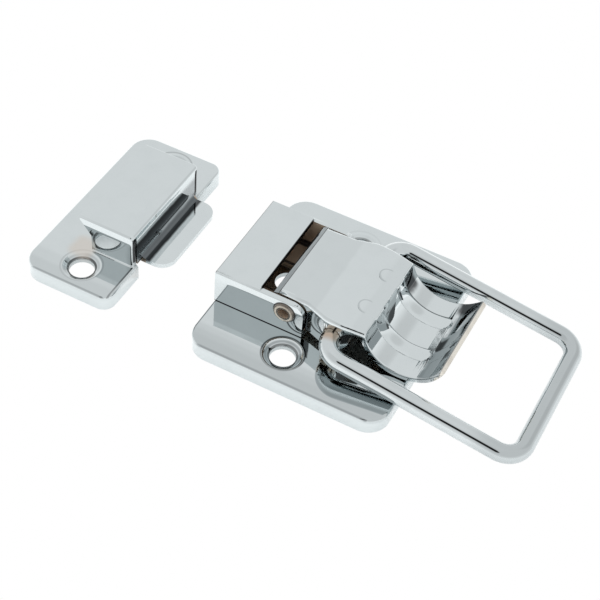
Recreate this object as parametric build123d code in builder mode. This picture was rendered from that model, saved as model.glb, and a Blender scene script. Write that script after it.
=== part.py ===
from build123d import *
from math import atan, degrees
import os

# Drawbolt: a latch with a lever and a wire bail, and the keeper that the bail hooks over.
# Millimetres. Z is up, X runs along the latch from the keeper towards the bail,
# and Y lies along both hinge axes. The origin is on the mounting face, in the
# latch's middle plane, at the edge of its base plate that faces the keeper.

os.makedirs("parts", exist_ok=True)

# Sheet and screws
sheet = 1.0
plate_height = 3.5
rim_bend = 0.6
screw_r = 2.5
screw_edge_round = 0.4
dish_r = 4.1
dish_depth = 0.8
case_height = 11.6

# Base plate
base_length = 41.0
base_width = 46.0
base_corner = 4.5
base_screw_x = 17.7
base_screw_edge = 6.5
centre_hole_x = 9.9

# Housing on the base plate
housing_width = 22.8
housing_top_length = 9.5
housing_length = 18.8
housing_bend = 0.7
ear_drop = 0.4
ear_corner = 2.6
foot_gap = 8.0
seam = 0.35

# Hinge between the housing and the lever
hinge_x = 14.9
hinge_drop = 3.1
rivet_r = 1.7
rivet_bore_r = 1.15
rivet_rim_r = 2.2
rivet_rim = 0.5
fixed_clearance = 0.02
running_clearance = 0.06

# Lever
lever_start = 13.1
lever_start_rise = 0.25
lever_flat_end = 17.5
lever_flat_rise = 0.3
lever_side_clearance = 0.3
lever_roll = 1.0
shoulder_start = 18.9
shoulder_end = 23.2
shoulder_step = 1.5
waist_start = 26.5
waist_step = 0.7
shoulder_bend = 4.0
crest_x = 31.1
crest_drop = 0.5
crest_radius = 0.35
scoop_x = 38.6
scoop_clearance = 0.3
lip_x = 46.1
lip_drop = 2.3
lip_corner = 3.6
lever_edge_round = 0.3
flange_end = 30.4
pivot_boss_r = 3.2
eye_boss_r = 3.3
rib_y = 4.6
rib_width = 3.4
rib_rise = 0.3
rib_start = 26.8
rib_end = 42.4

# Bail
wire_r = 1.8
eye_x = 25.0
eye_drop = 0.5
bail_side_gap = 2.7
bail_reach = 40.4
bail_rest_clearance = 0.25
bail_inner_bend = 4.0
bail_outer_bend = 4.2
bail_tip_inside = 1.4
eye_clearance = 0.08

# Keeper
keeper_edge = -17.1
keeper_length = 20.0
keeper_width = 44.6
keeper_corner_back = 4.2
keeper_corner_front = 2.6
keeper_screw_x = 9.4
keeper_screw_edge = 5.4
hood_side_gap = 2.0
hood_front = 0.5
hood_lip = 12.5
hood_waist = 10.0
hood_waist_z = 7.3
hood_bend = 0.8
hood_foot = 0.4
hood_back_bulge = 0.9
tongue_width = 19.8
tongue_reach = 5.8
tongue_top = 4.5
tongue_bend = 1.4
tongue_corner = 3.2

# Screw dish: the sheet pressed down around each screw hole, with the hole's edge rounded
dish_low = plate_height - dish_depth
with BuildPart() as screw_boss:
    with BuildSketch(Plane.XZ):
        with BuildLine():
            Polyline(
                (0, plate_height),
                (dish_r + sheet / 2, plate_height),
                (dish_r + sheet / 2, plate_height - sheet),
                (screw_r + sheet / 2, dish_low - sheet),
                (0, dish_low - sheet),
                close=True,
            )
        make_face()
    revolve(axis=Axis.Z)
with BuildPart() as screw_dish:
    with BuildSketch(Plane.XZ):
        with BuildLine() as dish_line:
            Polyline(
                (0, plate_height),
                (dish_r, plate_height),
                (screw_r, dish_low),
                (screw_r, 0),
                (0, 0),
                close=True,
            )
            fillet(dish_line.vertices().sort_by_distance((screw_r, dish_low))[0], screw_edge_round)
        make_face()
    revolve(axis=Axis.Z)

# Base plate: a shallow pressed tray with its rim turned down
base_screw_y = base_width / 2 - base_screw_edge
with BuildPart() as base_plate:
    with BuildSketch(Plane.XY):
        with Locations((base_length / 2, 0)):
            RectangleRounded(base_length, base_width, base_corner)
    extrude(amount=plate_height)
    fillet(base_plate.faces().sort_by(Axis.Z)[-1].edges(), rim_bend)
    with BuildSketch(Plane.XY):
        with Locations((base_length / 2, 0)):
            RectangleRounded(base_length - 2 * sheet, base_width - 2 * sheet, base_corner - sheet)
    extrude(amount=plate_height - sheet, mode=Mode.SUBTRACT)
    for y in (base_screw_y, -base_screw_y):
        with Locations((base_screw_x, y, 0)):
            add(screw_boss.part)
            add(screw_dish.part, mode=Mode.SUBTRACT)
    with Locations((centre_hole_x, 0, plate_height)):
        Hole(screw_r, depth=plate_height)
base_plate.part.label = "base_plate"

# Housing: a box bent from sheet, standing on two inward feet, with an ear on each side
ear_inner = housing_width / 2 - sheet
hinge_z = case_height - hinge_drop
with BuildPart() as housing:
    with BuildSketch(Plane.XY.offset(plate_height)):
        with Locations((housing_length / 2, 0)):
            Rectangle(housing_length, housing_width)
    extrude(amount=case_height - plate_height)
    fillet(
        housing.edges().group_by(Axis.Z)[-1].filter_by(Axis.X)
        + housing.edges().group_by(Axis.Z)[-1].filter_by(Axis.Y).sort_by(Axis.X)[0],
        housing_bend,
    )
    with BuildSketch(Plane.YZ.offset(sheet)):
        with Locations((0, (plate_height + case_height) / 2)):
            RectangleRounded(2 * ear_inner, case_height - plate_height - 2 * sheet, 0.3)
    extrude(amount=housing_length, mode=Mode.SUBTRACT)
    with BuildSketch(Plane.XY.offset(plate_height + sheet)):
        with Locations((housing_top_length, 0)):
            Rectangle(housing_length, 2 * ear_inner, align=(Align.MIN, Align.CENTER))
    extrude(amount=case_height, mode=Mode.SUBTRACT)
    with BuildSketch(Plane.XY.offset(case_height - ear_drop)):
        with Locations((housing_top_length, 0)):
            Rectangle(housing_length, 2 * housing_width, align=(Align.MIN, Align.CENTER))
    extrude(amount=case_height, mode=Mode.SUBTRACT)
    with BuildSketch(Plane.XY.offset(plate_height)):
        with Locations((sheet, 0)):
            Rectangle(housing_length, foot_gap, align=(Align.MIN, Align.CENTER))
    extrude(amount=sheet, mode=Mode.SUBTRACT)
    with BuildSketch(Plane.YZ):
        with Locations((ear_inner - seam / 2, plate_height), (-ear_inner + seam / 2, plate_height)):
            Rectangle(seam, case_height - plate_height - 1.5 * sheet, align=(Align.CENTER, Align.MIN))
    extrude(amount=sheet, mode=Mode.SUBTRACT)
    fillet(
        housing.edges().filter_by(Axis.Y).group_by(Axis.X)[-1].group_by(Axis.Z)[-1],
        ear_corner,
    )
    with BuildSketch(Plane.XZ.offset(-housing_width)):
        with Locations((hinge_x, hinge_z)):
            Circle(rivet_r + fixed_clearance)
    extrude(amount=2 * housing_width, mode=Mode.SUBTRACT)
housing.part.label = "housing"

# Hinge rivet: a tube through both ears with its ends rolled over
rivet_half = housing_width / 2
with BuildPart() as rivet:
    with BuildSketch(Plane.XZ.offset(-rivet_half)):
        with Locations((hinge_x, hinge_z)):
            Circle(rivet_r)
    extrude(amount=2 * rivet_half)
    with BuildSketch(Plane.XZ.offset(rivet_half)):
        with Locations((hinge_x, hinge_z)):
            Circle(rivet_rim_r)
    extrude(amount=rivet_rim)
    with BuildSketch(Plane.XZ.offset(-rivet_half)):
        with Locations((hinge_x, hinge_z)):
            Circle(rivet_rim_r)
    extrude(amount=-rivet_rim)
    fillet(
        rivet.edges().filter_by(GeomType.CIRCLE).group_by(Axis.Y)[0]
        + rivet.edges().filter_by(GeomType.CIRCLE).group_by(Axis.Y)[-1],
        rivet_rim * 0.8,
    )
    with BuildSketch(Plane.XZ.offset(-2 * rivet_half)):
        with Locations((hinge_x, hinge_z)):
            Circle(rivet_bore_r)
    extrude(amount=4 * rivet_half, mode=Mode.SUBTRACT)
rivet.part.label = "rivet"

# Lever: one sheet with a flat top rolled down at its sides, a crest, a thumb scoop and a lip
narrow_half = ear_inner - lever_side_clearance
wide_half = narrow_half + shoulder_step
waist_half = wide_half - waist_step
lever_start_z = case_height + lever_start_rise
lever_flat_z = case_height + lever_flat_rise
crest_z = case_height - crest_drop
scoop_z = plate_height + scoop_clearance + sheet
lip_z = case_height - lip_drop
eye_z = hinge_z - eye_drop
side_plane = Plane.XZ.offset(-wide_half)
lever_depth = 2 * wide_half
lever_tall = 2 * case_height
with BuildLine() as lever_top:
    Line((lever_start, lever_start_z), (lever_flat_end, lever_flat_z))
    TangentArc((lever_flat_end, lever_flat_z), (crest_x, crest_z), tangent=(1, 0))
with BuildLine() as lever_scoop:
    TangentArc((scoop_x, scoop_z), (crest_x, crest_z), tangent=(-1, 0))
    TangentArc((scoop_x, scoop_z), (lip_x, lip_z), tangent=(1, 0))
with BuildSketch(side_plane) as lever_section:
    with BuildLine():
        add(lever_top.line)
        add(lever_scoop.line)
        offset(amount=-sheet, side=Side.RIGHT)
    make_face()
run_on = lever_top.line @ 1 + (lever_top.line % 1) * lever_tall
with BuildSketch(side_plane) as lever_below_top:
    with BuildLine():
        add(lever_top.line)
        Line(lever_top.line @ 1, run_on)
        Polyline(run_on, (run_on.X, 0), (lever_start, 0), (lever_start, lever_start_z))
    make_face()
with BuildSketch(side_plane) as lever_above_scoop:
    with BuildLine():
        add(lever_scoop.line)
        Line((lip_x, lip_z), (lip_x, lever_tall))
        Line((lip_x, lever_tall), (crest_x, lever_tall))
        Line((crest_x, lever_tall), (crest_x, crest_z))
    make_face()
with BuildSketch(Plane.XY) as lever_outline:
    with BuildLine() as outline_line:
        Polyline(
            (hinge_x - 2 * pivot_boss_r, narrow_half),
            (shoulder_start, narrow_half),
            (shoulder_end, wide_half),
            (waist_start, wide_half),
            (crest_x, waist_half),
            (lip_x + 2 * sheet, waist_half),
            (lip_x + 2 * sheet, -waist_half),
            (crest_x, -waist_half),
            (waist_start, -wide_half),
            (shoulder_end, -wide_half),
            (shoulder_start, -narrow_half),
            (hinge_x - 2 * pivot_boss_r, -narrow_half),
            close=True,
        )
    make_face()
    fillet(lever_outline.vertices().group_by(Axis.X)[-1], lip_corner)
    fillet(lever_outline.vertices().filter_by(lambda v: hinge_x < v.X < scoop_x), shoulder_bend)
with BuildSketch(Plane.XY) as flange_hollow:
    offset(lever_outline.sketch, amount=-sheet)
    with Locations((hinge_x - 3 * pivot_boss_r, 0)):
        Rectangle(4 * pivot_boss_r, 2 * (narrow_half - sheet), align=(Align.MIN, Align.CENTER))
with BuildSketch(side_plane) as flange_side:
    with Locations((hinge_x, hinge_z)):
        Circle(pivot_boss_r)
    with Locations((eye_x, eye_z)):
        Circle(eye_boss_r)
    with BuildLine():
        TangentArc(
            (eye_x + eye_boss_r, eye_z),
            (flange_end, crest_z - sheet / 2),
            tangent=(0, 1),
        )
        Polyline(
            (flange_end, crest_z - sheet / 2),
            (lever_start, lever_start_z - sheet / 2),
            (lever_start, hinge_z),
            (hinge_x, hinge_z - pivot_boss_r),
            (eye_x, eye_z - eye_boss_r),
            (eye_x + eye_boss_r, eye_z),
        )
    make_face()
with BuildPart() as lever_block:
    extrude(lever_below_top.sketch, amount=lever_depth, dir=(0, -1, 0))
    extrude(lever_outline.sketch, amount=lever_tall, dir=(0, 0, 1), mode=Mode.INTERSECT)
    top_edges = lever_block.edges().filter_by(lambda e: e.bounding_box().min.Z > crest_z / 2)
    fillet(top_edges.filter_by(lambda e: e.center().X > lever_start + sheet), lever_roll)
    extrude(lever_above_scoop.sketch, amount=lever_depth, dir=(0, -1, 0), mode=Mode.SUBTRACT)
with BuildPart() as flanges:
    add(lever_block.part)
    extrude(flange_side.sketch, amount=lever_depth, dir=(0, -1, 0), mode=Mode.INTERSECT)
    extrude(flange_hollow.sketch, amount=lever_tall, dir=(0, 0, 1), mode=Mode.SUBTRACT)
with BuildSketch(Plane.XY) as rib_outline:
    with Locations(((rib_start + rib_end) / 2, rib_y), ((rib_start + rib_end) / 2, -rib_y)):
        SlotOverall(rib_end - rib_start, rib_width)
with BuildLine() as lever_run:
    add(lever_top.line)
    add(lever_scoop.line)
    fillet(lever_run.vertices().sort_by_distance((crest_x, crest_z))[0], crest_radius)
rib_line = Plane.XZ.offset(rib_y) * lever_run.line
with BuildPart() as ribs:
    with BuildSketch(Plane(origin=rib_line @ 0, x_dir=(0, 1, 0), z_dir=rib_line % 0)):
        Ellipse(rib_width / 2, rib_rise)
    sweep(path=rib_line)
    mirror(about=Plane.XZ)
    extrude(rib_outline.sketch, amount=lever_tall, dir=(0, 0, 1), mode=Mode.INTERSECT)
with BuildPart() as lever:
    add(lever_block.part)
    extrude(lever_section.sketch, amount=lever_depth, dir=(0, -1, 0), mode=Mode.INTERSECT)
    add(flanges.part)
    crest_edges = lever.edges().filter_by(lambda e: abs(e.center().X - crest_x) < sheet / 8)
    fillet(crest_edges.filter_by(lambda e: e.center().Z > crest_z - sheet), crest_radius)
    add(ribs.part)
    with BuildSketch(Plane.XZ.offset(-housing_width)):
        with Locations((hinge_x, hinge_z)):
            Circle(rivet_r + running_clearance)
        with Locations((eye_x, eye_z)):
            Circle(wire_r + eye_clearance)
    extrude(amount=2 * housing_width, mode=Mode.SUBTRACT)
lever.part.label = "lever"

# Bail: one round wire bent to a loop, its two tips turned in through the lever's flanges
bail_half = wide_half + bail_side_gap + wire_r
wire_over_plate = eye_z - plate_height - wire_r - bail_rest_clearance
wire_over_table = eye_z - wire_r
bail_slope = min(wire_over_plate / (base_length - eye_x), wire_over_table / bail_reach)
bail_angle = -degrees(atan(bail_slope))
bail_plane = Plane(
    origin=(eye_x, 0, eye_z),
    x_dir=(1, 0, 0),
    z_dir=(0, 0, 1),
).rotated((0, -bail_angle, 0))
tip_y = wide_half - sheet - bail_tip_inside
with BuildPart() as bail:
    with BuildLine(bail_plane) as bail_path:
        FilletPolyline(
            (0, -tip_y),
            (0, -bail_half),
            (bail_reach, -bail_half),
            (bail_reach, bail_half),
            (0, bail_half),
            (0, tip_y),
            radius=(bail_inner_bend, bail_outer_bend, bail_outer_bend, bail_inner_bend),
        )
    with BuildSketch(Plane(origin=bail_path.line @ 0, z_dir=bail_path.line % 0)):
        Circle(wire_r)
    sweep(path=bail_path.line)
    chamfer(bail.faces().filter_by(GeomType.PLANE).edges(), wire_r / 5)
bail.part.label = "bail"

# Keeper: one pressed sheet with a raised hood, a tongue towards the latch and a turned-down rim
keeper_back = keeper_edge - keeper_length
keeper_screw_y = keeper_width / 2 - keeper_screw_edge
hood_half = bail_half - wire_r - hood_side_gap
hood_width = 2 * hood_half
with BuildPart() as keeper_tray:
    with BuildSketch(Plane.XY) as keeper_outline:
        with Locations((keeper_edge - keeper_length / 2, 0)):
            Rectangle(keeper_length, keeper_width)
        fillet(keeper_outline.vertices().group_by(Axis.X)[0], keeper_corner_back)
        fillet(keeper_outline.vertices().group_by(Axis.X)[-1], keeper_corner_front)
    extrude(amount=plate_height)
    fillet(keeper_tray.faces().sort_by(Axis.Z)[-1].edges(), rim_bend)
with BuildPart() as keeper_tray_hollow:
    with BuildSketch(Plane.XY):
        offset(keeper_outline.sketch, amount=-sheet)
    extrude(amount=plate_height - sheet)
hood_plan_depth = hood_lip - hood_front
with BuildSketch(Plane.XY) as hood_plan:
    with BuildLine():
        Polyline(
            (keeper_edge - hood_lip, -hood_half),
            (keeper_edge - hood_front, -hood_half),
            (keeper_edge - hood_front, hood_half),
            (keeper_edge - hood_lip, hood_half),
        )
        ThreePointArc(
            (keeper_edge - hood_lip, hood_half),
            (keeper_edge - hood_lip - hood_back_bulge, 0),
            (keeper_edge - hood_lip, -hood_half),
        )
    make_face()
hood_back = keeper_edge - hood_lip - hood_back_bulge
hood_waist_x = keeper_edge - hood_waist
with BuildSketch(Plane.XZ.offset(-hood_half)) as hood_side:
    with BuildLine():
        Polyline(
            (keeper_edge - hood_front, plate_height - sheet),
            (keeper_edge - hood_front, case_height),
            (hood_back, case_height),
            (hood_waist_x, hood_waist_z),
            (hood_waist_x, plate_height - sheet),
            close=True,
        )
    make_face()
with BuildPart() as hood:
    extrude(hood_side.sketch, amount=hood_width, dir=(0, -1, 0))
    extrude(hood_plan.sketch, amount=lever_tall, dir=(0, 0, 1), mode=Mode.INTERSECT)
    fillet(hood.edges().filter_by(Axis.Y).group_by(Axis.Z)[-1].sort_by(Axis.X)[-1], hood_bend)
    fillet(hood.edges().group_by(Axis.Z)[-1].filter_by(Axis.X), hood_bend)
with BuildPart() as hood_hollow:
    with BuildSketch(Plane.XZ.offset(-hood_half + sheet)):
        offset(hood_side.sketch, amount=-sheet)
    extrude(amount=hood_width - 2 * sheet)
    with BuildSketch(Plane.XY):
        offset(hood_plan.sketch, amount=-sheet)
    extrude(amount=lever_tall, mode=Mode.INTERSECT)
tongue_root = keeper_edge - hood_front
with BuildPart() as keeper:
    add(keeper_tray.part)
    add(hood.part)
    hood_foot_edges = keeper.edges().filter_by(
        lambda e: abs(e.center().Z - plate_height) < sheet / 100
        and abs(abs(e.center().Y) - hood_half) < sheet / 100
    )
    fillet(hood_foot_edges, hood_foot)
    add(keeper_tray_hollow.part, mode=Mode.SUBTRACT)
    add(hood_hollow.part, mode=Mode.SUBTRACT)
    with Locations((hood_waist_x + sheet, 0, 0)):
        Box(
            hood_waist - hood_front - 2 * sheet,
            hood_width - 2 * sheet,
            hood_waist_z,
            align=(Align.MIN, Align.CENTER, Align.MIN),
            mode=Mode.SUBTRACT,
        )
    with Locations((tongue_root, 0, 0)):
        Box(
            2 * sheet,
            hood_width - 2 * sheet,
            tongue_top - sheet,
            align=(Align.CENTER, Align.CENTER, Align.MIN),
            mode=Mode.SUBTRACT,
        )
    with Locations(
        (tongue_root, hood_half - sheet - seam / 2, 0),
        (tongue_root, -hood_half + sheet + seam / 2, 0),
    ):
        Box(
            2 * sheet,
            seam,
            case_height - 1.5 * sheet,
            align=(Align.CENTER, Align.CENTER, Align.MIN),
            mode=Mode.SUBTRACT,
        )
    with BuildSketch(Plane.XY.offset(tongue_top - sheet)) as tongue_outline:
        with Locations((tongue_root - sheet / 2, 0)):
            Rectangle(
                tongue_reach + hood_front + sheet / 2,
                tongue_width,
                align=(Align.MIN, Align.CENTER),
            )
        fillet(tongue_outline.vertices().group_by(Axis.X)[-1], tongue_corner)
    extrude(amount=sheet)
    with BuildSketch(Plane.XZ.offset(-tongue_width / 2)):
        with BuildLine():
            TangentArc(
                (tongue_root, tongue_top + tongue_bend),
                (tongue_root + tongue_bend, tongue_top),
                tangent=(0, -1),
            )
            Polyline(
                (tongue_root + tongue_bend, tongue_top),
                (tongue_root + tongue_bend, tongue_top - sheet / 2),
                (tongue_root - sheet / 2, tongue_top - sheet / 2),
                (tongue_root - sheet / 2, tongue_top + tongue_bend),
                (tongue_root, tongue_top + tongue_bend),
            )
        make_face()
    extrude(amount=tongue_width)
    for y in (keeper_screw_y, -keeper_screw_y):
        with Locations((keeper_edge - keeper_screw_x, y, 0)):
            add(screw_boss.part)
            add(screw_dish.part, mode=Mode.SUBTRACT)
keeper.part.label = "keeper"

export_step(base_plate.part, "parts/base_plate.step")
export_step(housing.part, "parts/housing.step")
export_step(rivet.part, "parts/rivet.step")
export_step(lever.part, "parts/lever.step")
export_step(bail.part, "parts/bail.step")
export_step(keeper.part, "parts/keeper.step")
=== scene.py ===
import bpy
import math
from mathutils import Matrix, Vector


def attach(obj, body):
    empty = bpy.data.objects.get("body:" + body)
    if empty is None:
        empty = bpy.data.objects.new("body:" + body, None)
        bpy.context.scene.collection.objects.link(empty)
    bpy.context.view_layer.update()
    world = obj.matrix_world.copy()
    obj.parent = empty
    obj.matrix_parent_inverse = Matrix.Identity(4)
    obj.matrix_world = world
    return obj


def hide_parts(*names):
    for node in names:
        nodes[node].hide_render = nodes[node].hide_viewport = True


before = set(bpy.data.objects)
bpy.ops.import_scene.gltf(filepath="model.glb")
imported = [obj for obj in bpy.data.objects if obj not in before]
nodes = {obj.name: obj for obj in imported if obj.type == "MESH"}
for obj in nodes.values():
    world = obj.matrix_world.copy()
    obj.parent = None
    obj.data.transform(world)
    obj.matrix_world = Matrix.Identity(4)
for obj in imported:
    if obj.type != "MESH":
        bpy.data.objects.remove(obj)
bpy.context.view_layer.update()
print("frame loaded:", sorted(nodes))
toMm = 1000  # the frame is in metres, the sizes here are in mm

# Camera
camera = {
    "azimuth": -66.511,
    "elevation": 47.262,
    "distance": 0.282152,
    "target": (0.01287, 0.000049, 0.0),
    "lens": 86.416,
    "roll": 5.779,
}


def direction(azimuth, elevation):
    a, e = math.radians(azimuth), math.radians(elevation)
    return Vector((math.cos(a) * math.cos(e), math.sin(a) * math.cos(e), math.sin(e)))


def placeCamera(c):
    back = direction(c["azimuth"], c["elevation"])
    right = direction(c["azimuth"] + 90, 0)
    up = back.cross(right)
    roll = math.radians(c["roll"])
    xAxis = right * math.cos(roll) + up * math.sin(roll)
    yAxis = up * math.cos(roll) - right * math.sin(roll)
    data = bpy.data.cameras.new("camera")
    data.lens = c["lens"]
    data.sensor_width = 36
    data.clip_start = 0.01
    data.clip_end = 20
    obj = bpy.data.objects.new("camera", data)
    bpy.context.scene.collection.objects.link(obj)
    turn = Matrix((xAxis, yAxis, back)).transposed().to_4x4()
    obj.matrix_world = Matrix.Translation(Vector(c["target"]) + back * c["distance"]) @ turn
    bpy.context.scene.camera = obj


placeCamera(camera)
print("camera placed")


# Steps that the node trees are put together from
def mathStep(tree, operation, first, second=None, value=None):
    step = tree.nodes.new("ShaderNodeMath")
    step.operation = operation
    tree.links.new(first, step.inputs[0])
    if second is not None:
        tree.links.new(second, step.inputs[1])
    if value is not None:
        step.inputs[1].default_value = value
    return step.outputs[0]


def vectorStep(tree, operation, first, second=None, value=None):
    step = tree.nodes.new("ShaderNodeVectorMath")
    step.operation = operation
    tree.links.new(first, step.inputs[0])
    if second is not None:
        tree.links.new(second, step.inputs[1])
    if value is not None:
        step.inputs[1].default_value = value
    return step.outputs["Value"] if operation in ("LENGTH", "DOT_PRODUCT") else step.outputs[0]


def noiseStep(tree, coords, pattern):
    noise = tree.nodes.new("ShaderNodeTexNoise")
    tree.links.new(coords, noise.inputs["Vector"])
    for label, value in pattern.items():
        noise.inputs[label].default_value = value
    return noise


def colourStep(tree, amount, first, second):
    mix = tree.nodes.new("ShaderNodeMix")
    mix.data_type = "RGBA"
    tree.links.new(amount, mix.inputs[0])
    if isinstance(first, tuple):
        mix.inputs[6].default_value = (*first, 1)
    else:
        tree.links.new(first, mix.inputs[6])
    mix.inputs[7].default_value = (*second, 1)
    return mix.outputs[2]


def effectStep(tree, group, values):
    effect = tree.nodes.new("ShaderNodeGroup")
    effect.node_tree = group
    for label, value in values.items():
        effect.inputs[label].default_value = value
    return effect


# Room: soft light from all round, brighter behind the latch, with a few dark places for the chrome to show
room = {
    "base": 1.15,
    "tint": (1.0, 1.0, 1.0),
    "patches": [
        # azimuth, elevation, inner and outer radius in degrees, brightness
        (0, 90, 70, 84, 0.99),
        (0, 90, 5, 30, 1.02),
        (-120, 60, 4, 9, 0.15),
        (-113, 47, 15, 35, 0.88),
        (54, 36, 6, 22, 0.84),
        (-83, 44, 8, 15, 0.02),
    ],
}


def buildRoom(r):
    world = bpy.data.worlds.new("room")
    world.use_nodes = True
    tree = world.node_tree
    coords = tree.nodes.new("ShaderNodeTexCoord").outputs["Generated"]
    base = tree.nodes.new("ShaderNodeValue")
    base.outputs[0].default_value = r["base"]
    level = base.outputs[0]
    for azimuth, elevation, inner, outer, brightness in r["patches"]:
        facing = vectorStep(tree, "DOT_PRODUCT", coords, value=direction(azimuth, elevation))
        edge = tree.nodes.new("ShaderNodeMapRange")
        edge.interpolation_type = "SMOOTHSTEP"
        edge.inputs["From Min"].default_value = math.cos(math.radians(outer))
        edge.inputs["From Max"].default_value = math.cos(math.radians(inner))
        tree.links.new(facing, edge.inputs["Value"])
        blend = tree.nodes.new("ShaderNodeMix")
        tree.links.new(edge.outputs["Result"], blend.inputs[0])
        tree.links.new(level, blend.inputs[2])
        blend.inputs[3].default_value = brightness
        level = blend.outputs[0]
    background = tree.nodes["Background"]
    background.inputs["Color"].default_value = (*r["tint"], 1)
    tree.links.new(level, background.inputs["Strength"])
    bpy.context.scene.world = world
    bpy.context.scene.view_settings.view_transform = "Standard"


buildRoom(room)

# Table: white to the eye, a little under white in the chrome's reflections
tabletop = {"size": 8.0, "drop": 0.0002, "colour": 0.9, "roughness": 0.8, "glow": 0.5, "white": 1.0}


def buildTable(t):
    bpy.ops.object.select_all(action="DESELECT")
    bpy.ops.mesh.primitive_plane_add(size=t["size"], location=(0, 0, -t["drop"]))
    table = bpy.context.active_object
    table.name = "table"
    material = bpy.data.materials.new("whiteTable")
    material.use_nodes = True
    tree = material.node_tree
    shader = tree.nodes["Principled BSDF"]
    shader.inputs["Base Color"].default_value = (t["colour"], t["colour"], t["colour"], 1)
    shader.inputs["Roughness"].default_value = t["roughness"]
    shader.inputs["Emission Color"].default_value = (1, 1, 1, 1)
    shader.inputs["Emission Strength"].default_value = t["glow"]
    white = tree.nodes.new("ShaderNodeEmission")
    white.inputs["Strength"].default_value = t["white"]
    seen = tree.nodes.new("ShaderNodeLightPath")
    pick = tree.nodes.new("ShaderNodeMixShader")
    tree.links.new(seen.outputs["Is Camera Ray"], pick.inputs[0])
    tree.links.new(shader.outputs[0], pick.inputs[1])
    tree.links.new(white.outputs[0], pick.inputs[2])
    tree.links.new(pick.outputs[0], tree.nodes["Material Output"].inputs["Surface"])
    table.data.materials.append(material)


buildTable(tabletop)
print("studio ready")


# Surface effects that the finishes share
def newGroup(name, inputs, outputs):
    group = bpy.data.node_groups.new(name, "ShaderNodeTree")
    for label, kind, value in inputs:
        socket = group.interface.new_socket(name=label, in_out="INPUT", socket_type=kind)
        socket.default_value = value
    for label, kind in outputs:
        group.interface.new_socket(name=label, in_out="OUTPUT", socket_type=kind)
    return group, group.nodes.new("NodeGroupInput"), group.nodes.new("NodeGroupOutput")


# The patterns of the skin; haze says where the clouds start and where they are full
skinGrain = {
    "wave": {"Detail": 1.0, "Roughness": 0.35},
    "pits": {"Scale": 2600.0, "Detail": 3.0},
    "cloud": {"Scale": 240.0, "Detail": 5.0, "Roughness": 0.6},
    "haze": (0.45, 0.7),
}


def buildPressedSkin(g):
    # Height: slow waves from pressing and polishing, fine pits under them. Haze: cloudy handling marks.
    group, given, made = newGroup(
        "pressedSkin",
        [
            ("Wave Scale", "NodeSocketFloat", 90.0),
            ("Wave", "NodeSocketFloat", 1.0),
            ("Pit", "NodeSocketFloat", 0.02),
        ],
        [("Height", "NodeSocketFloat"), ("Haze", "NodeSocketFloat")],
    )
    coords = group.nodes.new("ShaderNodeTexCoord").outputs["Object"]
    wave = noiseStep(group, coords, g["wave"])
    group.links.new(given.outputs["Wave Scale"], wave.inputs["Scale"])
    waveHeight = mathStep(group, "MULTIPLY", wave.outputs["Fac"], given.outputs["Wave"])
    pits = noiseStep(group, coords, g["pits"])
    pitHeight = mathStep(group, "MULTIPLY", pits.outputs["Fac"], given.outputs["Pit"])
    group.links.new(mathStep(group, "ADD", pitHeight, waveHeight), made.inputs["Height"])
    cloud = noiseStep(group, coords, g["cloud"])
    haze = group.nodes.new("ShaderNodeMapRange")
    haze.inputs["From Min"].default_value = g["haze"][0]
    haze.inputs["From Max"].default_value = g["haze"][1]
    group.links.new(cloud.outputs["Fac"], haze.inputs["Value"])
    group.links.new(haze.outputs["Result"], made.inputs["Haze"])
    return group


def maskFrom(group, made, distance, fade):
    fall = group.nodes.new("ShaderNodeMapRange")
    fall.interpolation_type = "SMOOTHSTEP"
    fall.inputs["To Min"].default_value = 1.0
    fall.inputs["To Max"].default_value = 0.0
    group.links.new(fade, fall.inputs["From Max"])
    group.links.new(distance, fall.inputs["Value"])
    group.links.new(fall.outputs["Result"], made.inputs["Mask"])


borderNoise = {"Scale": 420.0, "Detail": 2.0}


def buildNearBox(n):
    # Mask: 1 in and on a box, fading to 0 over the distance Fade; Wobble makes its border uneven
    group, given, made = newGroup(
        "nearBox",
        [
            ("Centre", "NodeSocketVector", (0, 0, 0)),
            ("Half", "NodeSocketVector", (0, 0, 0)),
            ("Fade", "NodeSocketFloat", 0.001),
            ("Wobble", "NodeSocketFloat", 0.0),
        ],
        [("Mask", "NodeSocketFloat")],
    )
    coords = group.nodes.new("ShaderNodeTexCoord").outputs["Object"]
    noise = noiseStep(group, coords, n)
    shift = vectorStep(group, "SUBTRACT", noise.outputs["Color"], value=(0.5, 0.5, 0.5))
    sway = group.nodes.new("ShaderNodeVectorMath")
    sway.operation = "SCALE"
    group.links.new(shift, sway.inputs[0])
    group.links.new(given.outputs["Wobble"], sway.inputs["Scale"])
    moved = vectorStep(group, "ADD", coords, sway.outputs[0])
    folded = vectorStep(group, "ABSOLUTE", vectorStep(group, "SUBTRACT", moved, given.outputs["Centre"]))
    outside = vectorStep(group, "MAXIMUM", vectorStep(group, "SUBTRACT", folded, given.outputs["Half"]))
    maskFrom(group, made, vectorStep(group, "LENGTH", outside), given.outputs["Fade"])
    return group


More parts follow.
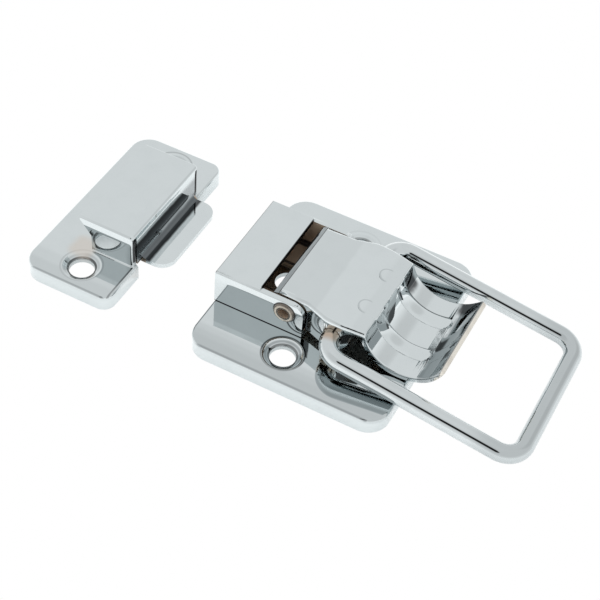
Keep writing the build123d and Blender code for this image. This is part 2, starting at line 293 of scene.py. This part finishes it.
def buildNearRing():
    # Mask: 1 on a ring, fading to 0 over the distance Fade; Plane keeps the two directions the ring lies in
    group, given, made = newGroup(
        "nearRing",
        [
            ("Centre", "NodeSocketVector", (0, 0, 0)),
            ("Plane", "NodeSocketVector", (1, 1, 0)),
            ("Radius", "NodeSocketFloat", 0.001),
            ("Half", "NodeSocketFloat", 0.0001),
            ("Fade", "NodeSocketFloat", 0.0001),
        ],
        [("Mask", "NodeSocketFloat")],
    )
    coords = group.nodes.new("ShaderNodeTexCoord").outputs["Object"]
    offset = vectorStep(group, "SUBTRACT", coords, given.outputs["Centre"])
    reach = vectorStep(group, "LENGTH", vectorStep(group, "MULTIPLY", offset, given.outputs["Plane"]))
    fromLine = mathStep(group, "ABSOLUTE", mathStep(group, "SUBTRACT", reach, given.outputs["Radius"]))
    outside = mathStep(group, "SUBTRACT", fromLine, given.outputs["Half"])
    maskFrom(group, made, outside, given.outputs["Fade"])
    return group


def buildWallLean():
    # Height in metres: a wall that rolls inwards over its top, from Low to High, up to the slope Lean
    group, given, made = newGroup(
        "wallLean",
        [
            ("Low", "NodeSocketFloat", 0.009),
            ("High", "NodeSocketFloat", 0.01),
            ("Lean", "NodeSocketFloat", 0.3),
        ],
        [("Height", "NodeSocketFloat")],
    )
    apart = group.nodes.new("ShaderNodeSeparateXYZ")
    group.links.new(group.nodes.new("ShaderNodeTexCoord").outputs["Object"], apart.inputs[0])
    # the slope grows to Lean between Low and High, then stays
    span = mathStep(group, "SUBTRACT", given.outputs["High"], given.outputs["Low"])
    aboveLow = mathStep(group, "SUBTRACT", apart.outputs["Z"], given.outputs["Low"])
    above = mathStep(group, "MAXIMUM", aboveLow, value=0.0)
    inBend = mathStep(group, "MINIMUM", above, span)
    squared = mathStep(group, "MULTIPLY", inBend, inBend)
    curve = mathStep(group, "DIVIDE", squared, mathStep(group, "MULTIPLY", span, value=2.0))
    straight = mathStep(group, "SUBTRACT", above, inBend)
    depth = mathStep(group, "MULTIPLY", mathStep(group, "ADD", curve, straight), given.outputs["Lean"])
    group.links.new(mathStep(group, "MULTIPLY", depth, value=-1.0), made.inputs["Height"])
    return group


pressedSkin = buildPressedSkin(skinGrain)
nearBox = buildNearBox(borderNoise)
nearRing = buildNearRing()
wallLean = buildWallLean()


def platedMaterial(name, p):
    material = bpy.data.materials.new(name)
    material.use_nodes = True
    tree = material.node_tree
    shader = tree.nodes["Principled BSDF"]
    shader.inputs["Metallic"].default_value = p["metallic"]
    skin = effectStep(tree, pressedSkin, {"Wave Scale": p["waveScale"], "Wave": p["wave"], "Pit": p["pit"]})
    tint = colourStep(tree, skin.outputs["Haze"], p["colour"], p["hazeColour"])
    for place in p.get("shades", []):
        near = effectStep(tree, place["effect"], place["values"])
        part = mathStep(tree, "MULTIPLY", near.outputs["Mask"], value=place["amount"])
        tint = colourStep(tree, part, tint, place["shade"])
    tree.links.new(tint, shader.inputs["Base Color"])
    gloss = tree.nodes.new("ShaderNodeMapRange")
    gloss.inputs["To Min"].default_value = p["roughness"][0]
    gloss.inputs["To Max"].default_value = p["roughness"][1]
    tree.links.new(skin.outputs["Haze"], gloss.inputs["Value"])
    tree.links.new(gloss.outputs["Result"], shader.inputs["Roughness"])
    height = mathStep(tree, "MULTIPLY", skin.outputs["Height"], value=p["depth"])
    if "lean" in p:
        low, high, slope = p["lean"]
        lean = effectStep(tree, wallLean, {"Low": low / toMm, "High": high / toMm, "Lean": slope})
        height = mathStep(tree, "ADD", height, lean.outputs["Height"])
    bump = tree.nodes.new("ShaderNodeBump")
    bump.inputs["Distance"].default_value = 1.0
    bump.inputs["Strength"].default_value = 1.0
    tree.links.new(height, bump.inputs["Height"])
    tree.links.new(bump.outputs["Normal"], shader.inputs["Normal"])
    return material


# A place painted in another colour, mostly painted shade, shadow and reflections: amount says how much of
# it shows, fade how far it reaches past its border
def boxShade(low, high, fade, shade, amount, wobble=0):
    values = {
        "Centre": [(a + b) / 2 / toMm for a, b in zip(low, high)],
        "Half": [(b - a) / 2 / toMm for a, b in zip(low, high)],
        "Fade": fade / toMm,
        "Wobble": wobble / toMm,
    }
    return {"effect": nearBox, "values": values, "shade": shade, "amount": amount}


def ringShade(centre, plane, radius, half, fade, shade, amount):
    values = {
        "Centre": [a / toMm for a in centre],
        "Plane": plane,
        "Radius": radius / toMm,
        "Half": half / toMm,
        "Fade": fade / toMm,
    }
    return {"effect": nearRing, "values": values, "shade": shade, "amount": amount}


sheetPlating = {
    "metallic": 1.0,
    "colour": (0.60, 0.645, 0.655),
    "hazeColour": (0.585, 0.63, 0.64),
    "roughness": (0.035, 0.07),
    "waveScale": 80.0,
    "wave": 1.0,
    "pit": 0.002,
    "depth": 0.0001,
}
# near black: dark seams, and painted shade, shadow and dark painted reflections in corners, gaps, folds and
# along edges
seamAndPaintedShadeBlack = (0.02, 0.02, 0.022)
shadow = (0.16, 0.18, 0.19)
# grey for painted reflections of a darker room, on the plates, the lever top and the wire's end
paintedReflectionGrey = (0.42, 0.455, 0.465)
# brown for a painted warm reflection on the bail where it passes the near eye
paintedWarmReflection = (0.42, 0.31, 0.22)
warm = (0.60, 0.54, 0.48)
flat, upright = (1, 1, 0), (1, 0, 1)


hinge = (14.9, 0, 8.5)
baseDish, keeperDish = (17.7, 16.5), (-26.5, 16.9)
# radius, half width and fade of each ring
dishRings = {"outer": (4.15, 0.06, 0.2), "middle": (3.3, 0.1, 0.25), "inner": (2.75, 0.1, 0.2)}


# Painted shade and dark painted reflections on the three rings of a screw dish: its rim, its fold and the
# edge of its hole
def dishShades(dish, side, outer, middle, inner):
    centre = (dish[0], dish[1] * side, 0)
    return [
        ringShade(centre, flat, *dishRings["outer"], seamAndPaintedShadeBlack, outer),
        ringShade(centre, flat, *dishRings["middle"], shadow, middle),
        ringShade(centre, flat, *dishRings["inner"], seamAndPaintedShadeBlack, inner),
    ]


basePlating = dict(
    sheetPlating,
    shades=dishShades(baseDish, -1, 0.85, 0.6, 0.7) + dishShades(baseDish, 1, 0.06, 0.06, 0.5) + [
        # Painted: black seam lines with painted shade at the housing's foot, dark painted reflections along
        # the near rim and the left edge, and grey painted reflections over the near strip and near the bail
        boxShade((-0.1, -11.5, 3.4), (18.8, -11.35, 3.5), 0.12, seamAndPaintedShadeBlack, 1.0),
        boxShade((-0.1, 11.35, 3.4), (18.8, 11.5, 3.5), 0.12, seamAndPaintedShadeBlack, 1.0),
        boxShade((-1.0, -22.75, 3.1), (38.0, -22.6, 3.6), 0.2, shadow, 0.85),
        boxShade((0.2, -19.0, 3.1), (0.35, -11.6, 3.6), 0.2, shadow, 0.8),
        boxShade((-1.0, -22.4, 3.45), (42.0, -21.0, 3.6), 1.2, paintedReflectionGrey, 0.35),
        boxShade((-1.0, -22.4, 3.45), (42.0, -19.6, 3.6), 1.2, paintedReflectionGrey, 0.35),
        boxShade((-1.0, -22.4, 3.45), (42.0, -18.2, 3.6), 1.2, paintedReflectionGrey, 0.35),
        boxShade((30.0, -17.5, 3.45), (42.0, -13.0, 3.6), 1.5, paintedReflectionGrey, 0.6),
    ],
)
housingPlating = dict(
    sheetPlating,
    lean=(9.1, 10.1, 0.42),
    shades=[
        # Painted: black seam with painted shade at the wall's foot, a painted shadow ring round the rivet,
        # and dark painted reflections along the top's left edge and the slot's edge
        boxShade((-0.1, -11.5, 3.4), (18.9, 11.5, 3.55), 0.14, seamAndPaintedShadeBlack, 1.0),
        ringShade(hinge, upright, 2.2, 0.1, 0.15, seamAndPaintedShadeBlack, 0.9),
        boxShade((-0.3, -11.5, 11.3), (0.2, 11.5, 11.7), 0.14, seamAndPaintedShadeBlack, 0.75),
        boxShade((9.45, -10.5, 10.5), (9.6, 10.5, 11.7), 0.14, seamAndPaintedShadeBlack, 0.97),
    ],
)
leverPlating = dict(
    sheetPlating,
    shades=[
        # Painted: shade on the turned-down nose and a black line at its joint, black painted reflections at
        # the crest's and lip's far ends, a dull painted reflection over the lip, dark painted lines along
        # the ribs' borders and arcs at their starts (the plain box after them paints half of each arc back
        # out), a painted contact shadow of the housing's ear on the flange, and grey painted reflections
        # over the top
        boxShade((11.0, -10.6, 10.0), (12.75, 10.6, 11.6), 0.12, shadow, 0.75, 0.2),
        boxShade((12.9, -10.6, 10.9), (13.02, 10.6, 11.9), 0.12, seamAndPaintedShadeBlack, 0.95),
        boxShade((31.3, 6.6, 7.0), (32.6, 9.2, 10.0), 1.0, seamAndPaintedShadeBlack, 0.9, 1.0),
        boxShade((42.9, -11.0, 5.0), (46.2, 11.0, 9.5), 0.7, shadow, 0.5, 2.0),
        boxShade((43.0, 8.2, 5.0), (46.4, 11.0, 9.5), 1.6, seamAndPaintedShadeBlack, 0.85, 1.5),
        boxShade((32.0, 6.25, 4.0), (42.0, 6.3, 9.0), 0.22, seamAndPaintedShadeBlack, 0.85),
        boxShade((32.6, -2.95, 4.0), (42.0, -2.9, 9.0), 0.12, seamAndPaintedShadeBlack, 0.7),
        ringShade((28.5, 4.6, 0), flat, 1.6, 0.06, 0.2, shadow, 0.3),
        ringShade((28.5, -4.6, 0), flat, 1.6, 0.06, 0.2, shadow, 0.3),
        boxShade((29.1, -7.0, 11.0), (31.0, 7.0, 12.0), 0.7, sheetPlating["colour"], 1.0),
        boxShade((18.7, -11.8, 3.6), (20.0, -9.6, 9.4), 0.35, seamAndPaintedShadeBlack, 0.9, 0.35),
        boxShade((13.2, -11.0, 11.2), (20.4, 11.0, 12.2), 0.8, paintedReflectionGrey, 0.2, 0.6),
        boxShade((28.8, -11.0, 10.4), (31.0, 11.0, 12.0), 1.0, paintedReflectionGrey, 0.15, 0.5),
    ],
)
keeperPlating = dict(
    sheetPlating,
    lean=(8.9, 10.4, 0.42),
    shades=dishShades(keeperDish, -1, 0.2, 0.3, 0.85) + dishShades(keeperDish, 1, 0.3, 0.2, 0.7) + [
        # Painted: a black painted shadow in the fold under the front wall and painted shade over the wall,
        # black seams with painted shade at the hood's front corners, dark painted lines along the plate's
        # front and near edges, grey painted reflections over the near strip, and a warmer patch behind the
        # hood
        boxShade((-17.5, -10.7, 4.4), (-15.6, 10.7, 4.8), 0.6, seamAndPaintedShadeBlack, 0.93, 0.4),
        boxShade((-18.2, -11.4, 4.2), (-17.0, 11.4, 8.2), 1.6, shadow, 0.7, 0.6),
        boxShade((-18.6, 11.1, 4.6), (-17.4, 12.0, 10.6), 0.15, seamAndPaintedShadeBlack, 0.95),
        boxShade((-18.6, -12.0, 4.6), (-17.4, -11.1, 10.6), 0.15, seamAndPaintedShadeBlack, 0.95),
        boxShade((-17.85, -22.0, 3.1), (-17.65, -12.5, 3.6), 0.15, seamAndPaintedShadeBlack, 0.7),
        boxShade((-37.0, -22.05, 3.1), (-17.5, -21.9, 3.6), 0.15, shadow, 0.5),
        boxShade((-38.0, -22.0, 3.45), (-17.0, -20.0, 3.6), 1.2, paintedReflectionGrey, 0.25),
        boxShade((-38.0, -22.0, 3.45), (-17.0, -17.5, 3.6), 1.5, paintedReflectionGrey, 0.2),
        boxShade((-30.3, -14.0, 3.3), (-27.6, -11.0, 3.6), 2.0, warm, 0.6, 0.8),
    ],
)
wirePlating = dict(
    sheetPlating,
    colour=(0.56, 0.60, 0.61),
    hazeColour=(0.53, 0.57, 0.58),
    shades=[
        # Painted: a warm painted reflection where the bail passes the near eye, and a grey painted
        # reflection darkening the wire's far end
        boxShade((23.0, -13.2, 6.0), (26.0, -8.0, 10.0), 1.6, paintedWarmReflection, 0.8, 0.8),
        boxShade((60.0, -18.5, -1.0), (68.0, 18.5, 5.0), 6.0, paintedReflectionGrey, 0.65, 0.3),
    ],
)
bareSteel = {
    "metallic": 0.3,
    "colour": (0.58, 0.46, 0.35),
    "hazeColour": (0.36, 0.27, 0.20),
    "roughness": (0.28, 0.5),
    "waveScale": 200.0,
    "wave": 1.0,
    "pit": 0.05,
    "depth": 0.00003,
    "shades": [
        # Painted: black lines of shade in the housing's inside corner and along the feet's edges, and black
        # seams with painted shade at the keeper hood's front corners
        boxShade((1.0, 9.8, 4.3), (18.0, 10.5, 5.2), 0.5, seamAndPaintedShadeBlack, 0.95),
        boxShade((1.0, 3.6, 4.3), (18.0, 4.2, 4.6), 0.3, seamAndPaintedShadeBlack, 0.9),
        boxShade((1.0, -4.2, 4.3), (18.0, -3.6, 4.6), 0.3, seamAndPaintedShadeBlack, 0.9),
        boxShade((-20.0, 10.5, 4.0), (-17.0, 12.4, 10.9), 0.3, seamAndPaintedShadeBlack, 0.97),
        boxShade((-20.0, -12.4, 4.0), (-17.0, -10.5, 10.9), 0.3, seamAndPaintedShadeBlack, 0.97),
    ],
}
cutSteel = {
    "metallic": 0.7,
    "colour": (0.80, 0.77, 0.70),
    "hazeColour": (0.62, 0.58, 0.52),
    "roughness": (0.25, 0.4),
    "waveScale": 200.0,
    "wave": 1.0,
    "pit": 0.05,
    "depth": 0.00002,
    "shades": [
        # painted shade over the inner half of the lip's cut edge
        boxShade((45.0, -12.0, 8.0), (46.2, 12.0, 10.0), 0.15, shadow, 0.85),
    ],
}
dullSteel = dict(
    bareSteel,
    metallic=0.35,
    colour=(0.56, 0.55, 0.52),
    hazeColour=(0.40, 0.38, 0.35),
    roughness=(0.2, 0.35),
    shades=[],
)
rivetSteel = dict(
    cutSteel,
    colour=(0.94, 0.87, 0.76),
    hazeColour=(0.66, 0.57, 0.47),
    roughness=(0.16, 0.3),
    shades=[
        # painted shade: dark rings at the bore's edge and round the rivet's rim
        ringShade(hinge, upright, 1.3, 0.1, 0.14, seamAndPaintedShadeBlack, 0.85),
        ringShade(hinge, upright, 2.05, 0.12, 0.16, seamAndPaintedShadeBlack, 0.8),
    ],
)
finishes = {
    "lever": platedMaterial("leverPlating", leverPlating),
    "base": platedMaterial("basePlating", basePlating),
    "housing": platedMaterial("housingPlating", housingPlating),
    "keeper": platedMaterial("keeperPlating", keeperPlating),
    "wire": platedMaterial("wirePlating", wirePlating),
    "inside": platedMaterial("bareSteel", bareSteel),
    "under": platedMaterial("dullSteel", dullSteel),
    "cut": platedMaterial("cutSteel", cutSteel),
    "rivet": platedMaterial("rivetSteel", rivetSteel),
}
print("finishes ready")

# Polished pieces: each stands for its CAD node, with its seams closed and its curves smooth
pieces = {
    "base_plate": {"body": "base", "slot": "plated_sheet", "finishes": ["base", "inside"]},
    "housing": {"body": "base", "slot": "plated_sheet", "finishes": ["housing", "inside"]},
    "rivet": {"body": "base", "slot": "plated_tube", "finishes": ["rivet", "inside"]},
    "lever": {"body": "lever", "slot": "plated_sheet", "finishes": ["lever", "under", "cut"]},
    "bail": {"body": "bail", "slot": "plated_wire", "finishes": ["wire"]},
    "keeper": {"body": "base", "slot": "plated_sheet", "finishes": ["keeper", "inside"]},
}
smoothing = {"mergeDistance": 0.0000005, "sliver": 0.00001, "flatAngle": 0.05, "angle": 35.0}
leverTop = {
    "height": 11.9,
    "flatEnd": 17.5,
    "bend": 116.0,  # radius of the curve behind the flat
    "trueFrom": 17.0,
    "trueTo": 30.9,
    "ribMiddle": 4.6,
    "ribHalf": 1.7,
    "ribRise": 0.3,
    "ribSide": 26.82,
    "ribFrom": 26.0,
    "ribTo": 31.6,
    "crest": 31.0,
    "crestHeight": 10.9,
    "steepest": 0.3,
    "touch": 0.02,  # corners this near the curve lie on it
    "sliver": (2e-8, 10.4),  # area in square metres and half width: a thin face's own normal says little
    # how much of the rib's rise stays, by x
    "ribKeeps": [(26.0, 0.7), (27.4, 0.7), (28.8, 0.3), (31.0, 0.25), (31.6, 1.0)],
}


def between(points, x):
    for (x0, y0), (x1, y1) in zip(points, points[1:]):
        if x < x1:
            return y0 + (y1 - y0) * max(x - x0, 0) / (x1 - x0)
    return points[-1][1]


def topAt(t, x):
    return t["height"] - max(x - t["flatEnd"], 0) ** 2 / (2 * t["bend"])


# The ribs start high and run out to almost nothing at the crest
def softenRibs(mesh, t):
    for vertex in mesh.vertices:
        x, y, z = vertex.co * toMm
        across = (abs(y) - t["ribMiddle"]) / t["ribHalf"]
        base = topAt(t, x) + 0.002 if x < t["crest"] else t["crestHeight"]
        if t["ribFrom"] < x < t["ribTo"] and abs(across) < 1 and z > base:
            drop = (1 - between(t["ribKeeps"], x)) * t["ribRise"] * math.sqrt(1 - across**2)
            vertex.co.z -= drop / toMm


# The top is one true curve with the ribs on it: its corners take their normals from that shape
def trueTop(mesh, t):
    normals = [Vector(corner.vector) for corner in mesh.corner_normals]
    for face in mesh.polygons:
        centre = face.center * toMm
        sliver = face.area < t["sliver"][0] and abs(centre.y) < t["sliver"][1]
        if (face.normal.z < 0.9 and not sliver) or not t["trueFrom"] < centre.x < t["trueTo"]:
            continue
        onRib = abs(abs(centre.y) - t["ribMiddle"]) < 0.98 * t["ribHalf"] and centre.x > t["ribSide"]
        for index in face.loop_indices:
            x, y, z = mesh.vertices[mesh.loops[index].vertex_index].co * toMm
            slope, side = max(x - t["flatEnd"], 0) / t["bend"], 0.0
            across = (abs(y) - t["ribMiddle"]) / t["ribHalf"]
            if onRib and abs(across) < 1.01:
                rise = between(t["ribKeeps"], x) * t["ribRise"] / t["ribHalf"]
                steep = rise * across / math.sqrt(max(1 - across**2, 0.01))
                side = math.copysign(1, y) * max(-t["steepest"], min(t["steepest"], steep))
            elif abs(z - topAt(t, x)) > t["touch"]:
                continue
            normals[index] = Vector((slope, side, 1)).normalized()
    mesh.normals_split_custom_set(normals)


def polishedCopy(nodeName, p, s):
    node = nodes[nodeName]
    piece = bpy.data.objects.new(nodeName + "Plated", node.data.copy())
    bpy.context.scene.collection.objects.link(piece)
    bpy.ops.object.select_all(action="DESELECT")
    piece.select_set(True)
    bpy.context.view_layer.objects.active = piece
    if nodeName == "lever":
        softenRibs(piece.data, leverTop)
    piece.data.materials.clear()
    for key in p["finishes"]:
        piece.data.materials.append(finishes[key])
    bpy.ops.object.mode_set(mode="EDIT")
    bpy.ops.mesh.select_all(action="SELECT")
    bpy.ops.mesh.remove_doubles(threshold=s["mergeDistance"])
    bpy.ops.mesh.dissolve_degenerate(threshold=s["sliver"])
    bpy.ops.mesh.dissolve_limited(angle_limit=math.radians(s["flatAngle"]))
    bpy.ops.object.mode_set(mode="OBJECT")
    for face in piece.data.polygons:
        face.material_index = 0
    bpy.ops.object.shade_smooth_by_angle(angle=math.radians(s["angle"]))
    weighted = piece.modifiers.new("weighted", "WEIGHTED_NORMAL")
    weighted.keep_sharp = True
    bpy.ops.object.modifier_apply(modifier="weighted")
    if nodeName == "lever":
        trueTop(piece.data, leverTop)
    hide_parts(nodeName)
    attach(piece, p["body"])
    return piece


plated = {}
for nodeName, settings in pieces.items():
    plated[nodeName] = polishedCopy(nodeName, settings, smoothing)
    print("polished", nodeName, len(plated[nodeName].data.polygons), "faces")


# Faces that the plating bath didn't reach keep the bare steel, and cut edges stay pale
def finishWhere(piece, index, test):
    for face in piece.data.polygons:
        if test(face.center * toMm, face.normal):
            face.material_index = index


# the hollows that stay bare, from and to
bareHollows = {
    "housing": ((0.9, -10.45, 3.4), (18.9, 10.45, 10.7)),
    "keeper": ((-29.5, -12.0, 3.7), (-17.0, 12.0, 10.9)),
}
keeperMiddle = Vector((-23.5, 0, 7))
bore = {"radius": 1.3, "ends": 11.3}
under = {"end": 31.0, "half": 10.7, "slope": -0.6}
edges = {"lip": 45.6, "flangeEnd": 31.0, "flange": 9.0, "flangeTop": 10.5}


def within(at, hollow):
    return all(low < value < high for low, value, high in zip(hollow[0], at, hollow[1]))


def insideHousing(at, normal):
    return within(at, bareHollows["housing"]) and normal.x < 0.9


def keeperInside(at, normal):
    return within(at, bareHollows["keeper"]) and (keeperMiddle - at).dot(normal) > 0


def rivetBore(at, normal):
    inBore = abs(normal.y) < 0.5 and math.hypot(at.x - hinge[0], at.z - hinge[2]) < bore["radius"]
    return abs(at.y) < bore["ends"] or inBore


def leverUnder(at, normal):
    return normal.z < under["slope"] and abs(at.y) < under["half"] and at.x < under["end"]


def leverEdge(at, normal):
    lip = at.x > edges["lip"] and normal.x > 0.3
    onFlange = at.x < edges["flangeEnd"] and abs(at.y) > edges["flange"] and at.z < edges["flangeTop"]
    return lip or (onFlange and abs(normal.y) < 0.3)


finishWhere(plated["housing"], 1, insideHousing)
finishWhere(plated["rivet"], 1, rivetBore)
finishWhere(plated["lever"], 1, leverUnder)
finishWhere(plated["lever"], 2, leverEdge)
finishWhere(plated["keeper"], 1, keeperInside)
print("bare places done")

# The lever's front edge is turned down into the housing's slot
leverNose = {
    "start": (12.5, 11.22),
    "length": 1.45,
    "width": 20.2,
    "thickness": 0.4,
    "angle": 25.0,
    "bevel": 0.12,
}


def buildNose(p):
    bpy.ops.object.select_all(action="DESELECT")
    bpy.ops.mesh.primitive_cube_add(size=1)
    nose = bpy.context.active_object
    nose.name = "leverNose"
    bpy.ops.transform.resize(value=(p["length"] / toMm, p["width"] / toMm, p["thickness"] / toMm))
    bpy.ops.transform.rotate(value=math.radians(p["angle"]), orient_axis="Y", center_override=(0, 0, 0))
    bpy.ops.transform.translate(value=(p["start"][0] / toMm, 0, p["start"][1] / toMm))
    bpy.ops.object.transform_apply(location=True, rotation=True, scale=True)
    bpy.ops.object.mode_set(mode="EDIT")
    bpy.ops.mesh.select_all(action="SELECT")
    bpy.ops.mesh.bevel(offset=p["bevel"] / toMm, segments=3, affect="EDGES")
    bpy.ops.object.mode_set(mode="OBJECT")
    bpy.ops.object.shade_smooth_by_angle(angle=math.radians(smoothing["angle"]))
    nose.data.materials.append(finishes["lever"])
    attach(nose, "lever")


buildNose(leverNose)
print("lever nose built")
